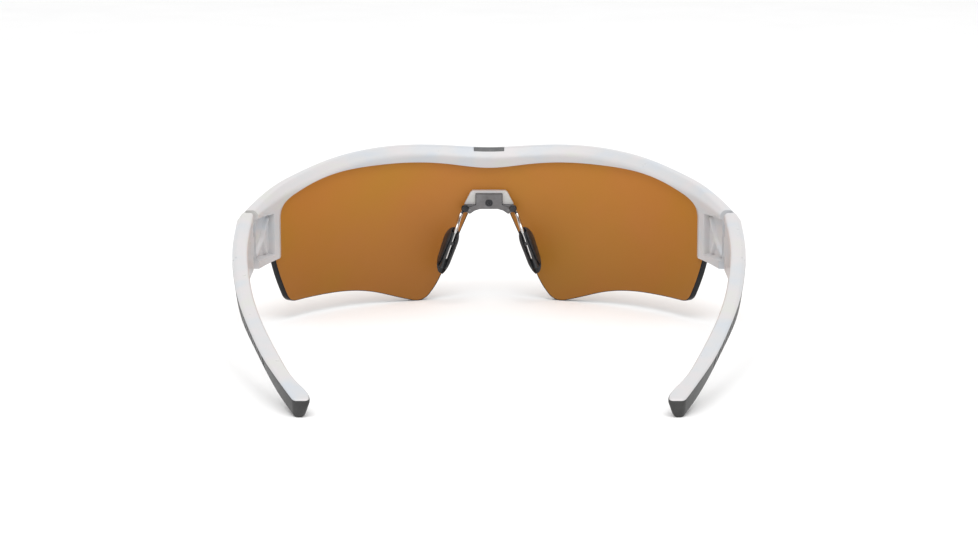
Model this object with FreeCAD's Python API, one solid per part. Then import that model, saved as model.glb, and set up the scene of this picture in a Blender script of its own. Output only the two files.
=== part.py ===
"""Wraparound sport sunglasses: a half-rim front with a one-piece lens, two folding temples
and a metal nose bridge with adjustable wire pad arms.

Millimetres. The sunglasses stand open on a flat surface: z = 0 is that surface, +Z is up,
the lens faces -Y, the temples run back to +Y, and +X is the wearer's left.
The origin is below the middle of the whole object.
"""
import FreeCAD, Part
import os
from math import atan2, cos, degrees, radians, sin, sqrt

V = FreeCAD.Vector
Z_UP = V(0, 0, 1)

# Driving dimensions of the front
WRAP_AXIS_Y = -4.35          # the front wraps round a vertical axis at x = 0 and this y
LENS_RADIUS = 69.15          # lens middle surface, from that axis
LENS_BULGE_RADIUS = 140.0    # the lens's curve from top to bottom
LENS_WIDEST_Z = 27.0
LENS_THICKNESS = 2.0
LENS_SIDE_ANGLE = 58.0       # round the wrap axis, where the lens's side edges are drawn flat
FRAME_OUTER_RADIUS = 72.0
RIM_X = 59.2                 # inner edge of the side panels, each side of the middle
LENS_FIT = 0.05              # clearance between the lens and its groove
BUILD_FRONT_Y = -95.0        # outlines seen from the front are drawn here, ahead of everything

# The dark strip let into the top of the brow
INLAY_ANGLE = 5.2
INLAY_RADII = (68.3, 70.3)
INLAY_FLOOR_Z = 43.8

# Hinges, left side; the right side is its mirror image
PIVOT_X = 67.4
PIVOT_Y = -21.3
BARREL_RADIUS = 1.8
POCKET_RADIUS = 2.0
LUG_END_Y = -21.4
LUG_SETBACK = 2.4            # its inner half stops this far ahead of the pivot, so the temple can fold
LUG_STEP_X = 67.7            # and reaches out to here
LOWER_EAR_Z = (18.6, 21.6)
KNUCKLE_Z = (21.8, 27.2)
UPPER_EAR_Z = (27.4, 30.4)
SCREW_RADIUS = 0.7
BUSH_RADIUS = 1.15
BUSH_FIT = 0.05
BORE_Z = (17.0, 31.0)        # the screw's bore runs right through both ears
HEAD_RADIUS = 1.3
HEAD_HEIGHT = 0.7
HEAD_PROUD = 0.1
SLOT_HALF = 0.2
NUT_RADIUS = 1.3
NUT_HEIGHT = 0.8

# Temples
TEMPLE_END_Y = 76.35
GRIP_THICKNESS = 1.5
GRIP_START_Y = 2.0
GRIP_WRAP_Y = 46.0           # behind this the rubber also covers the side next to the head
GRIP_INNER_OFFSET = 3.3
GRIP_FOOT_HEIGHT = 1.6
GROOVE_COUNT = 9
GROOVE_START_Y = 16.0
GROOVE_PITCH = 4.6
GROOVE_SIZE = (0.9, 1.3)
GROOVE_SLANT = 32.0
GROOVE_SHARE = 0.44          # of the height of the outer face
TIP_CAP_Y = 72.5             # behind this the rubber fills the whole tip below the top skin

# Nose bridge
BRIDGE_FACE_Y = -70.0        # where the white base meets the metal plate
PLATE_THICKNESS = 1.0
BRIDGE_SCREW_Z = 28.9
SOCKET_X = 7.1
SOCKET_Z = 27.3
RIVET_RADIUS = 0.5
RIVET_FIT = 0.05
EYE_RADIUS = 1.1
EYE_THICKNESS = 0.7
BRIDGE_SCREW_RADIUS = 0.6
BRIDGE_HEAD_RADIUS = 0.95
BRIDGE_HEAD_SEAT = 0.6
HEX_RADIUS = 0.45
INSERT_RADIUS = 1.1
INSERT_FRONT_Y = -74.4
INSERT_REAR_Y = -71.8
PLATE_REAR_Y = BRIDGE_FACE_Y + PLATE_THICKNESS
RIVET_HEAD_RADIUS = 0.8

# Pad arms and nose pads
WIRE_RADIUS = 0.5
PAD_TOP = V(9.9, -62.5, 21.3)
PAD_FOOT = V(13.8, -61.0, 10.3)
PAD_LENGTH = 14.4
PAD_DEPTH = 6.4
PAD_WIDTH = 3.9
SLEEVE_RADIUS = 1.15
SLEEVE_FIT = 0.06
SLOT_WIDTH = 1.0
PAD_EDGE_RADIUS = 1.3
PAD_SPLIT_HALF = 0.75
WIRE_BEHIND_MIDDLE = 1.5
CROSSBAR_Z = (1.9, 2.8)
SLEEVE_ENDS = (-5.4, 5.6)


def solid_of(shape):
    """The one solid that a boolean leaves, cleaned of split faces."""
    shape = shape.removeSplitter()
    solids = sorted(shape.Solids, key=lambda s: -s.Volume)
    return solids[0]


def mirrored(shape):
    return shape.mirror(V(0, 0, 0), V(1, 0, 0))


def spline(points):
    curve = Part.BSplineCurve()
    curve.interpolate([V(*p) for p in points])
    return curve.toShape()


def line(a, b):
    return Part.makeLine(V(*a), V(*b))


def face_of(edges):
    return Part.Face(Part.Wire(Part.__sortEdges__(edges)))


def polygon(points):
    return Part.makePolygon([V(*p) for p in points] + [V(*points[0])])


def prism_y(points, y_from, y_to):
    """A straight-sided outline of (x, z) points, carried along Y."""
    face = Part.Face(polygon([(x, y_from, z) for x, z in points]))
    return face.extrude(V(0, y_to - y_from, 0))


def upright(radius, x, y, z_range):
    return Part.makeCylinder(radius, z_range[1] - z_range[0], V(x, y, z_range[0]))


def along_y(radius, x, z, y_from, y_to):
    return Part.makeCylinder(radius, y_to - y_from, V(x, y_from, z), V(0, 1, 0))


def box(x_range, y_range, z_range):
    sides = [r[1] - r[0] for r in (x_range, y_range, z_range)]
    return Part.makeBox(*sides, V(x_range[0], y_range[0], z_range[0]))


def at_angle(r, angle, z):
    """A point at r from the wrap axis, angle degrees round from straight ahead."""
    return V(r * sin(radians(angle)), WRAP_AXIS_Y - r * cos(radians(angle)), z)


def wrapped_shell(inner, outer, z_from=-10.0, z_to=60.0, reach=84.0):
    """The lens's double curve as a thick shell, its faces inner and outer mm from the middle."""
    centre = LENS_RADIUS - LENS_BULGE_RADIUS

    def radius_at(offset, z):
        r = LENS_BULGE_RADIUS + offset
        return centre + sqrt(r * r - (z - LENS_WIDEST_Z) ** 2)

    def arc(offset):
        ends = [at_angle(radius_at(offset, z), -reach, z) for z in (z_from, LENS_WIDEST_Z, z_to)]
        return Part.Arc(*ends).toShape()

    def edge(z):
        return Part.makeLine(at_angle(radius_at(inner, z), -reach, z),
                             at_angle(radius_at(outer, z), -reach, z))

    face = face_of([arc(inner), edge(z_to), arc(outer), edge(z_from)])
    return face.revolve(V(0, WRAP_AXIS_Y, 0), Z_UP, 2 * reach)


# Outline of the lens from the front, right of the middle; the left is its mirror image
LENS_TOP = [(0, 41.3), (12, 42.5), (24, 43.4), (36, 43.1), (47, 41.7), (55, 38.9), (62, 34.6),
            (70, 28.4)]
LENS_FLAT_BOTTOM_Z = 5.1
LENS_BOTTOM = [(49, 5.1), (42, 4.9), (34, 3.6), (27, 1.4), (22.4, 0.1)]
LENS_INNER_CORNER = [(22.4, 0.1), (20.9, 0.03), (19.3, 0.45), (17.9, 1.5)]
LENS_NOSE_EDGE = [(17.9, 1.5), (16.1, 3.9), (13.7, 8.4), (9.6, 17.5), (6.6, 24.3), (4.4, 29.2)]
NOTCH_TOP_Z = 30.8
# The side edge of the lens, seen square on at LENS_SIDE_ANGLE: distance round, height
LENS_SIDE_EDGE = [(7.0, 24.0), (6.4, 19.5), (5.3, 15.4), (3.8, 11.4), (2.4, 8.2)]
LENS_SIDE_CORNER = [(2.4, 8.2), (1.4, 6.4), (-0.1, 5.4), (-2.0, 5.1)]


def lens_front_prism():
    """The lens's outline from the front, carried along Y."""
    y = BUILD_FRONT_Y

    def half(side):
        def edge(points):
            return spline([(side * x, y, z) for x, z in points])
        outer_x, outer_top = LENS_TOP[-1]
        inner_x, inner_foot = LENS_BOTTOM[0]
        sides = [line((side * outer_x, y, outer_top), (side * outer_x, y, LENS_FLAT_BOTTOM_Z)),
                 line((side * outer_x, y, LENS_FLAT_BOTTOM_Z), (side * inner_x, y, inner_foot))]
        return sides + [edge(LENS_BOTTOM), edge(LENS_INNER_CORNER), edge(LENS_NOSE_EDGE)]

    top = [(-x, y, z) for x, z in reversed(LENS_TOP)] + [(x, y, z) for x, z in LENS_TOP[1:]]
    notch_x, notch_z = LENS_NOSE_EDGE[-1]
    arch = Part.Arc(V(-notch_x, y, notch_z), V(0, y, NOTCH_TOP_Z), V(notch_x, y, notch_z)).toShape()
    return face_of([spline(top), arch] + half(1) + half(-1)).extrude(V(0, 75, 0))


def lens_side_prism():
    """What the left end of the lens keeps, drawn square to the lens at LENS_SIDE_ANGLE."""
    angle = radians(LENS_SIDE_ANGLE)
    outward = V(sin(angle), -cos(angle), 0)
    onward = V(cos(angle), sin(angle), 0)
    start = V(0, WRAP_AXIS_Y, 0) + outward * 15

    def point(t, z):
        return tuple(start + onward * t + V(0, 0, z))

    def edge(points):
        return spline([point(t, z) for t, z in points])

    top_t, top_z = LENS_SIDE_EDGE[0]
    foot_z = LENS_SIDE_CORNER[-1][1]
    far_t, step_t, high, low = -75.0, -4.5, 60.0, -5.0
    corners = [(top_t, top_z), (top_t, high), (far_t, high), (far_t, low), (step_t, low),
               (step_t, foot_z), LENS_SIDE_CORNER[-1]]
    edges = [line(point(*a), point(*b)) for a, b in zip(corners, corners[1:])]
    return face_of(edges + [edge(LENS_SIDE_EDGE), edge(LENS_SIDE_CORNER)]).extrude(outward * 65)


def trimmed_lens(shell):
    side = lens_side_prism()
    left = shell.common(box((0, 90), (-95, 0), (-5, 60))).common(side)
    right = mirrored(left)
    return solid_of(left.fuse(right).common(lens_front_prism()))


def shield_lens():
    half = LENS_THICKNESS / 2
    return trimmed_lens(wrapped_shell(-half, half))


def lens_groove():
    """The room the frame leaves for the lens: a little thicker, taller and longer."""
    half = LENS_THICKNESS / 2 + LENS_FIT
    shell = wrapped_shell(-half, half)
    angle = LENS_SIDE_ANGLE + degrees((LENS_SIDE_EDGE[0][0] + 0.25) / LENS_RADIUS)
    sector = wrapped_sector(60, 80, -angle, angle, (-5, 60))
    top = [(x, z + LENS_FIT) for x, z in LENS_TOP]
    y = BUILD_FRONT_Y
    edge = [(-x, y, z) for x, z in reversed(top)] + [(x, y, z) for x, z in top[1:]]
    ends = [edge[-1], (70, y, -5), (-70, y, -5), edge[0]]
    sides = [line(a, b) for a, b in zip(ends, ends[1:])]
    return shell.common(sector).common(face_of([spline(edge)] + sides).extrude(V(0, 75, 0)))


def wrapped_sector(r_from, r_to, angle_from, angle_to, z_range):
    """A block bounded by two radii and two angles round the wrap axis."""
    corners = [(r_from, z_range[0]), (r_to, z_range[0]), (r_to, z_range[1]), (r_from, z_range[1])]
    face = Part.Face(polygon([tuple(at_angle(r, angle_from, z)) for r, z in corners]))
    return face.revolve(V(0, WRAP_AXIS_Y, 0), Z_UP, angle_to - angle_from)


# The brow and side panels: angle round, top z, bottom z, inner face radius,
# outer chamfer's width and height, inner facet's width and height
FRONT_SECTIONS = [
    (0, 44.9, 19.0, 66.1, 1.7, 1.5, 2.3, 2.6),
    (11, 45.7, 19.0, 66.1, 1.7, 1.5, 2.3, 2.6),
    (21, 46.2, 19.0, 66.1, 1.7, 1.5, 2.3, 2.6),
    (31, 45.6, 19.0, 66.1, 1.7, 1.6, 2.3, 2.6),
    (41, 43.9, 19.0, 66.1, 1.7, 1.8, 2.3, 2.6),
    (51, 41.3, 19.0, 66.2, 1.7, 2.1, 2.1, 2.5),
    (60, 38.3, 18.9, 66.4, 1.7, 2.4, 1.7, 2.2),
    (68, 35.2, 18.2, 66.8, 1.7, 2.6, 1.3, 1.8),
    (79, 31.5, 17.2, 67.2, 1.7, 2.6, 0.9, 1.3),
]
# The underside of the brow, then the corner and inner edge of the side panel, from the front
BROW_UNDERSIDE = [(0, 39.2), (12, 40.5), (24, 41.4), (34, 41.2), (44, 40.2), (51, 38.1), (55.5, 36.0)]
PANEL_CORNER = [(55.5, 36.0), (57.6, 34.4), (58.7, 32.6), (RIM_X, 30.0)]


def front_section(angle, top, bottom, inner, outer_w, outer_h, inner_w, inner_h):
    outer = FRAME_OUTER_RADIUS
    corners = [(outer, bottom), (outer, top - outer_h),
               (outer - outer_w * 0.35, top - outer_h * 0.4),
               (outer - outer_w, top), (inner + inner_w, top - 0.1),
               (inner + inner_w * 0.15, top - inner_h * 0.9),
               (inner, top - inner_h - 0.5), (inner, bottom)]
    return polygon([tuple(at_angle(r, angle, z)) for r, z in corners])


def front_wrap():
    sections = [(-s[0],) + s[1:] for s in reversed(FRONT_SECTIONS)] + FRONT_SECTIONS[1:]
    return Part.makeLoft([front_section(*s) for s in sections], True, False)


def lens_opening():
    """The window under the brow and between the side panels, carried along Y."""
    y = BUILD_FRONT_Y
    low = (RIM_X, y, 10.0)

    def half(side):
        return [spline([(side * x, y, z) for x, z in PANEL_CORNER]),
                line((side * RIM_X, y, PANEL_CORNER[-1][1]), (side * low[0], y, low[2]))]

    brow = [(-x, y, z) for x, z in reversed(BROW_UNDERSIDE)]
    brow += [(x, y, z) for x, z in BROW_UNDERSIDE[1:]]
    edges = [spline(brow), line((-low[0], y, low[2]), low)] + half(1) + half(-1)
    return face_of(edges).extrude(V(0, 90, 0))


# The hollow in the side panel's inner face: angles round, heights, depth as a radius,
# and the moulded ribs left standing in it, each from one (angle, height) to another
RECESS_ANGLES = (65.2, 73.4)
RECESS_Z = (20.2, 31.6)
RECESS_RADIUS = 69.3
RIB_TOP_RADIUS = 68.2
RIB_HALF_WIDTH = 0.55
RIBS = [((66.4, 30.6), (68.8, 25.2)), ((68.8, 25.2), (67.2, 21.2)), ((68.8, 25.2), (72.2, 21.4))]


def panel_recess():
    """The hollow in the left side panel, ribs left out of it."""
    hollow = wrapped_sector(60, RECESS_RADIUS, *RECESS_ANGLES, RECESS_Z)
    rise = wrapped_sector(RIB_TOP_RADIUS, 71, 64, 75, (19, 33))
    middle = sum(RECESS_ANGLES) / 2
    outward = at_angle(1, middle, 0) - at_angle(0, middle, 0)
    for (a, za), (b, zb) in RIBS:
        start, end = at_angle(66, a, za), at_angle(66, b, zb)
        run = end - start
        across = run.cross(outward).normalize() * RIB_HALF_WIDTH
        corners = [start + across, end + across, end - across, start - across]
        bar = Part.Face(Part.makePolygon(corners + corners[:1])).extrude(outward * 5)
        hollow = hollow.cut(bar.common(rise))
    return hollow


def front_frame():
    body = front_wrap().cut(lens_opening()).cut(lens_groove())
    for side in (1, -1):
        cut = [box((PIVOT_X, 90), (LUG_END_Y, 20), (0, 60)),
               box((0, LUG_STEP_X), (PIVOT_Y - LUG_SETBACK, 20), (0, 60)),
               upright(POCKET_RADIUS, PIVOT_X, PIVOT_Y, (LOWER_EAR_Z[1], UPPER_EAR_Z[0])),
               panel_recess()]
        ears = [upright(BARREL_RADIUS, PIVOT_X, PIVOT_Y, z) for z in (LOWER_EAR_Z, UPPER_EAR_Z)]
        head_z = (BORE_Z[0], LOWER_EAR_Z[0] + HEAD_HEIGHT)
        nut_z = (UPPER_EAR_Z[1] - NUT_HEIGHT, BORE_Z[1])
        bores = [upright(SCREW_RADIUS, PIVOT_X, PIVOT_Y, BORE_Z),
                 upright(HEAD_RADIUS, PIVOT_X, PIVOT_Y, head_z),
                 upright(NUT_RADIUS, PIVOT_X, PIVOT_Y, nut_z)]
        if side < 0:
            cut, ears, bores = [[mirrored(s) for s in group] for group in (cut, ears, bores)]
        for shape in cut:
            body = body.cut(shape)
        for ear in ears:
            body = body.fuse(ear)
        for bore in bores:
            body = body.cut(bore)
    return solid_of(body.cut(inlay_block()))


def inlay_block():
    return wrapped_sector(*INLAY_RADII, -INLAY_ANGLE, INLAY_ANGLE, (INLAY_FLOOR_Z, 46.5))


def brow_inlay():
    """Fills its slot and follows the slight dip of the brow, a hair proud of it."""
    sheet = [(x, 45.02 + 0.0045 * x * x) for x in (-8, -4, 0, 4, 8)]
    edges = [spline([(x, -80.0, z) for x, z in sheet])]
    corners = [sheet[-1], (8, 40), (-8, 40), sheet[0]]
    edges += [line((a[0], -80.0, a[1]), (b[0], -80.0, b[1])) for a, b in zip(corners, corners[1:])]
    return solid_of(inlay_block().common(face_of(edges).extrude(V(0, 20, 0))))


def hinge_screw():
    """A small slotted screw put in from below, through both ears and the knuckle's bush."""
    foot = LOWER_EAR_Z[0] - HEAD_PROUD
    shank = upright(SCREW_RADIUS, PIVOT_X, PIVOT_Y, (foot, UPPER_EAR_Z[1] + 0.2))
    head = upright(HEAD_RADIUS, PIVOT_X, PIVOT_Y, (foot, LOWER_EAR_Z[0] + HEAD_HEIGHT))
    slot = box((PIVOT_X - 2, PIVOT_X + 2), (PIVOT_Y - SLOT_HALF, PIVOT_Y + SLOT_HALF),
               (foot - 1, foot + 0.35))
    return shank.fuse(head).cut(slot).removeSplitter()


def hinge_nut():
    ring = upright(NUT_RADIUS, PIVOT_X, PIVOT_Y, (UPPER_EAR_Z[1] - NUT_HEIGHT, UPPER_EAR_Z[1]))
    return ring.cut(upright(SCREW_RADIUS, PIVOT_X, PIVOT_Y, BORE_Z))


def hinge_bush():
    ring = upright(BUSH_RADIUS, PIVOT_X, PIVOT_Y, KNUCKLE_Z)
    return ring.cut(upright(SCREW_RADIUS + BUSH_FIT, PIVOT_X, PIVOT_Y, BORE_Z))


# Temples: y, outer face x, top z, bottom z, width, outer chamfer width and height,
# how far the outer face leans in towards its foot
TEMPLE_SECTIONS = [
    (-21.2, 70.0, 32.5, 17.2, 4.7, 1.7, 2.6, 0.2),
    (-8.0, 70.0, 28.8, 15.6, 4.5, 1.4, 2.2, 0.7),
    (8.0, 68.4, 24.3, 13.4, 4.3, 1.0, 1.5, 1.1),
    (24.0, 65.6, 19.3, 10.8, 4.3, 0.7, 1.0, 1.4),
    (40.0, 61.3, 14.5, 7.7, 4.4, 0.5, 0.7, 1.5),
    (56.0, 56.2, 10.2, 4.3, 4.6, 0.4, 0.6, 1.2),
    (68.0, 51.4, 7.1, 1.4, 4.7, 0.4, 0.5, 0.7),
    (TEMPLE_END_Y, 47.4, 4.4, -0.5, 3.4, 0.3, 0.4, 0.1),
]


def temple_section(y, x, top, bottom, width, outer_w, outer_h, lean):
    inner = x - width
    foot = inner + lean * 0.25
    corners = [(x - lean, bottom + 0.9), (x, top - outer_h), (x - outer_w, top),
               (inner + 0.6, top - 0.1), (inner, top - 0.8), (foot, bottom + 0.9),
               (foot + 0.9, bottom), (x - lean - 0.7, bottom)]
    return polygon([(px, y, pz) for px, pz in corners])


def temple_body():
    whole = Part.makeLoft([temple_section(*s) for s in TEMPLE_SECTIONS], True, False)
    return whole.common(box((0, 90), (-30, 90), (0, 60)))


def plan_region(offset_from, offset_to, y_from, y_to):
    """A band in plan between two distances in from the temple's outer face."""
    stations = [(s[0], s[1]) for s in TEMPLE_SECTIONS]
    near = [(x - offset_from, y, 0) for y, x in stations]
    far = [(x - offset_to, y, 0) for y, x in stations]
    edges = [spline(near), spline(far), line(near[0], far[0]), line(near[-1], far[-1])]
    band = face_of(edges).extrude(V(0, 0, 60)).translate(V(0, 0, -5))
    return band.common(box((0, 90), (y_from, y_to), (-5, 60)))


def side_region(low, high):
    """Between two lines in side view; each gives z from a row of TEMPLE_SECTIONS."""
    below = [(0, s[0], low(s)) for s in TEMPLE_SECTIONS]
    above = [(0, s[0], high(s)) for s in TEMPLE_SECTIONS]
    edges = [spline(below), spline(above), line(below[0], above[0]), line(below[-1], above[-1])]
    return face_of(edges).extrude(V(90, 0, 0))


def grip_region():
    """All of the temple that is rubber: the outer side, the underside and the tip."""
    front_y = GRIP_START_Y - 12
    outside, beyond = -3.0, 8.0
    under_top = side_region(lambda s: s[3] - 5, lambda s: s[2] - s[6])
    low_band = side_region(lambda s: s[3] - 5, lambda s: s[3] + GRIP_FOOT_HEIGHT)
    outer = plan_region(outside, GRIP_THICKNESS + 0.6, front_y, 90)
    foot = plan_region(outside, beyond, front_y, 90).common(low_band)
    inner = plan_region(GRIP_INNER_OFFSET, beyond, GRIP_WRAP_Y, 90)
    tip = plan_region(outside, beyond, TIP_CAP_Y, 90)
    region = outer.fuse(foot).fuse(inner).fuse(tip).common(under_top)
    slant = [(0, front_y - 1, -5), (0, front_y - 1, 60), (0, GRIP_START_Y + 16, 60),
             (0, GRIP_START_Y - 9, 5), (0, GRIP_START_Y - 9, -5)]
    return region.cut(Part.Face(polygon(slant)).extrude(V(90, 0, 0)))


def grip_grooves():
    """Slanted anti-slip grooves in the rubber's outer face."""
    grooves = []
    depth, width = GROOVE_SIZE
    for index in range(GROOVE_COUNT):
        y = GROOVE_START_Y + GROOVE_PITCH * index
        x, top, bottom, lean, turn = wall_at(y)
        height = (top - bottom) * GROOVE_SHARE
        bar = Part.makeBox(depth, width, height, V(-0.35, -width / 2, -height / 2))
        bar.rotate(V(0, 0, 0), V(1, 0, 0), GROOVE_SLANT)
        bar.rotate(V(0, 0, 0), V(0, 1, 0), degrees(atan2(lean, top - bottom)))
        bar.rotate(V(0, 0, 0), Z_UP, turn)
        bar.translate(V(x - lean * 0.5, y, (top + bottom) / 2 - 0.2))
        grooves.append(bar)
    return grooves


def wall_at(y):
    """The temple's outer face at y: x, top, bottom, lean, and the way it is turned in plan."""
    for a, b in zip(TEMPLE_SECTIONS, TEMPLE_SECTIONS[1:]):
        if a[0] <= y <= b[0]:
            t = (y - a[0]) / (b[0] - a[0])
            x, top, bottom, lean = [a[i] + (b[i] - a[i]) * t for i in (1, 2, 3, 7)]
            turn = degrees(atan2(a[1] - b[1], b[0] - a[0]))
            return x, top - (a[6] + b[6]) / 2, bottom, lean, turn


def temple_parts():
    """The white core and the rubber grip of the left temple."""
    body = temple_body()
    for z in ((10.0, KNUCKLE_Z[0]), (KNUCKLE_Z[1], UPPER_EAR_Z[1] + 0.5)):
        relief = box((PIVOT_X - 6, PIVOT_X), (PIVOT_Y - 1, PIVOT_Y + POCKET_RADIUS), z)
        body = body.cut(upright(POCKET_RADIUS, PIVOT_X, PIVOT_Y, z)).cut(relief)
    body = body.fuse(upright(BARREL_RADIUS, PIVOT_X, PIVOT_Y, KNUCKLE_Z))
    body = body.cut(upright(BUSH_RADIUS, PIVOT_X, PIVOT_Y, KNUCKLE_Z))
    region = grip_region()
    core = solid_of(body.cut(region))
    grip = body.common(region)
    for groove in grip_grooves():
        grip = grip.cut(groove)
    return core, solid_of(grip)


# Outlines of the nose bridge from the front, right of the middle
BASE_OUTLINE = [(4.9, 32.4), (5.5, 31.9), (7.4, 28.2), (7.5, 26.6), (5.7, 25.4), (4.6, 26.2), (3.4, 27.1)]
PLATE_OUTLINE = [(4.0, 31.7), (4.0, 28.4), (7.0, 28.4), (8.1, 27.9), (8.2, 26.9), (5.5, 25.8),
                 (4.2, 26.6), (2.6, 27.1)]
SADDLE_OUTLINE = [(3.9, 29.2), (4.4, 26.8), (2.6, 27.2)]
CAP_OUTLINE = [(4.2, 32.2), (6.4, 27.0), (4.4, 26.8)]


def both_sides(points):
    return points + [(-x, z) for x, z in reversed(points)]


def bridge_base():
    """The white carrier: a plate behind the lens, a saddle through its notch, a cap in front."""
    half = LENS_THICKNESS / 2
    rear = prism_y(both_sides(BASE_OUTLINE), -76, BRIDGE_FACE_Y).common(wrapped_shell(-6, -half))
    cap = prism_y(both_sides(CAP_OUTLINE), -80, -70).common(wrapped_shell(half, half + 1.2))
    saddle = prism_y(both_sides(SADDLE_OUTLINE), -74.6, -71.4)
    base = rear.fuse(cap).fuse(saddle)
    base = base.cut(along_y(INSERT_RADIUS, 0, BRIDGE_SCREW_Z, INSERT_FRONT_Y, INSERT_REAR_Y))
    base = base.cut(along_y(BRIDGE_SCREW_RADIUS, 0, BRIDGE_SCREW_Z, INSERT_REAR_Y - 0.1, -68))
    for side in (1, -1):
        base = base.cut(along_y(EYE_RADIUS, side * SOCKET_X, SOCKET_Z, -80, -68))
    return solid_of(base)


def bridge_plate():
    """The metal plate that carries both pad arms."""
    plate = prism_y(both_sides(PLATE_OUTLINE), BRIDGE_FACE_Y, PLATE_REAR_Y)
    plate = plate.cut(along_y(BRIDGE_SCREW_RADIUS, 0, BRIDGE_SCREW_Z, -72, -68))
    seat_y = PLATE_REAR_Y - BRIDGE_HEAD_SEAT
    plate = plate.cut(along_y(BRIDGE_HEAD_RADIUS, 0, BRIDGE_SCREW_Z, seat_y, -68))
    for side in (1, -1):
        plate = plate.cut(along_y(RIVET_RADIUS, side * SOCKET_X, SOCKET_Z, -72, -68))
    return solid_of(plate)


def bridge_screw():
    shank = along_y(BRIDGE_SCREW_RADIUS, 0, BRIDGE_SCREW_Z, -74.2, PLATE_REAR_Y - 0.2)
    seat_y = PLATE_REAR_Y - BRIDGE_HEAD_SEAT
    head = along_y(BRIDGE_HEAD_RADIUS, 0, BRIDGE_SCREW_Z, seat_y, PLATE_REAR_Y - 0.1)
    turns = [radians(a) for a in range(0, 360, 60)]
    hexagon = [(HEX_RADIUS * cos(a), BRIDGE_SCREW_Z + HEX_RADIUS * sin(a)) for a in turns]
    socket = prism_y(hexagon, PLATE_REAR_Y - 0.45, -68)
    return shank.fuse(head).cut(socket).removeSplitter()


def bridge_insert():
    ring = along_y(INSERT_RADIUS, 0, BRIDGE_SCREW_Z, INSERT_FRONT_Y, INSERT_REAR_Y)
    return ring.cut(along_y(BRIDGE_SCREW_RADIUS, 0, BRIDGE_SCREW_Z, -76, -70))


def arm_rivet():
    """Holds the arm's eye against the plate, and lets it turn."""
    eye_rear = PLATE_REAR_Y + EYE_THICKNESS + 2 * RIVET_FIT
    tail_y = BRIDGE_FACE_Y - 0.5
    shank = along_y(RIVET_RADIUS, SOCKET_X, SOCKET_Z, tail_y, eye_rear + 0.3)
    tail = along_y(RIVET_HEAD_RADIUS, SOCKET_X, SOCKET_Z, tail_y, BRIDGE_FACE_Y)
    head = along_y(RIVET_HEAD_RADIUS, SOCKET_X, SOCKET_Z, eye_rear, eye_rear + 0.4)
    return shank.fuse(tail).fuse(head).removeSplitter()


def pad_direction():
    return (PAD_FOOT - PAD_TOP).normalize()


def pad_arm():
    """Wire bent from the eye at the bridge, back and down into the pad."""
    eye_front = PLATE_REAR_Y + RIVET_FIT
    eye_y = eye_front + EYE_THICKNESS / 2
    eye = along_y(EYE_RADIUS, SOCKET_X, SOCKET_Z, eye_front, eye_front + EYE_THICKNESS)
    start = V(SOCKET_X + 1.0, eye_y, SOCKET_Z - 0.85)
    bend_one = V(8.7, -67.0, 25.0)
    bend_two = PAD_TOP - pad_direction() * 1.6
    wire = bent_wire([start, bend_one, bend_two, PAD_FOOT])
    arm = eye.fuse(wire)
    return solid_of(arm.cut(along_y(RIVET_RADIUS + RIVET_FIT, SOCKET_X, SOCKET_Z, -80, -60)))


def bent_wire(points):
    """A round wire along straight runs, with ball joints smoothing the corners."""
    wire = None
    for a, b in zip(points, points[1:]):
        run = b - a
        piece = Part.makeCylinder(WIRE_RADIUS, run.Length, a, run)
        wire = piece if wire is None else wire.fuse(piece)
    for corner in points[1:-1]:
        wire = wire.fuse(Part.makeSphere(WIRE_RADIUS, corner))
    return wire


def pad_placed(shape):
    """From the pad's own frame (wire along Z, nose side -X, back +Y) to its place, left side."""
    up = pad_direction() * -1
    back = (V(-0.30, 1, 0) - up * V(-0.30, 1, 0).dot(up)).normalize()
    side = back.cross(up)
    middle = (PAD_TOP + PAD_FOOT) * 0.5
    matrix = FreeCAD.Matrix(side.x, back.x, up.x, middle.x, side.y, back.y, up.y, middle.y,
                            side.z, back.z, up.z, middle.z, 0, 0, 0, 1)
    moved = shape.copy()
    moved.Placement = FreeCAD.Placement(matrix)
    return moved


def nose_pad():
    """Soft pad moulded round the sleeve, split at the back where the wire shows."""
    thick = PAD_WIDTH / 2
    disc = PAD_DEPTH / 2
    rise = PAD_LENGTH / 2 - disc
    plate = box((-thick, thick), (-disc, disc), (-rise, rise))
    for z in (rise, -rise):
        plate = plate.fuse(Part.makeCylinder(disc, PAD_WIDTH, V(-thick, 0, z), V(1, 0, 0)))
    plate = plate.removeSplitter()
    rim = [e for e in plate.Edges if abs(e.BoundBox.XMax - e.BoundBox.XMin) < 0.01]
    plate = plate.makeFillet(PAD_EDGE_RADIUS, rim)
    plate = plate.translate(V(0, -WIRE_BEHIND_MIDDLE, 0))
    plate = plate.cut(Part.makeCylinder(SLEEVE_RADIUS, 30, V(0, 0, -15)))
    plate = plate.cut(box((-PAD_SPLIT_HALF, PAD_SPLIT_HALF), (0, 6), (-12, 12)))
    return pad_placed(solid_of(plate))


def pad_sleeve():
    """Hard channel inside the pad that grips the wire, open at the back but for one crossbar."""
    low, high = SLEEVE_ENDS
    sleeve = Part.makeCylinder(SLEEVE_RADIUS, high - low, V(0, 0, low))
    sleeve = sleeve.cut(Part.makeCylinder(WIRE_RADIUS + SLEEVE_FIT, 30, V(0, 0, -15)))
    for z in ((-12, CROSSBAR_Z[0]), (CROSSBAR_Z[1], 12)):
        sleeve = sleeve.cut(box((-SLOT_WIDTH / 2, SLOT_WIDTH / 2), (0, 3), z))
    return pad_placed(solid_of(sleeve))


def save(name, *shapes):
    shape = shapes[0] if len(shapes) == 1 else Part.makeCompound(list(shapes))
    for solid in shape.Solids:
        assert solid.isValid() and solid.isClosed(), name
    shape.exportStep("parts/" + name + ".step")
    print(name, len(shape.Solids), round(shape.Volume, 2))


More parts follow.
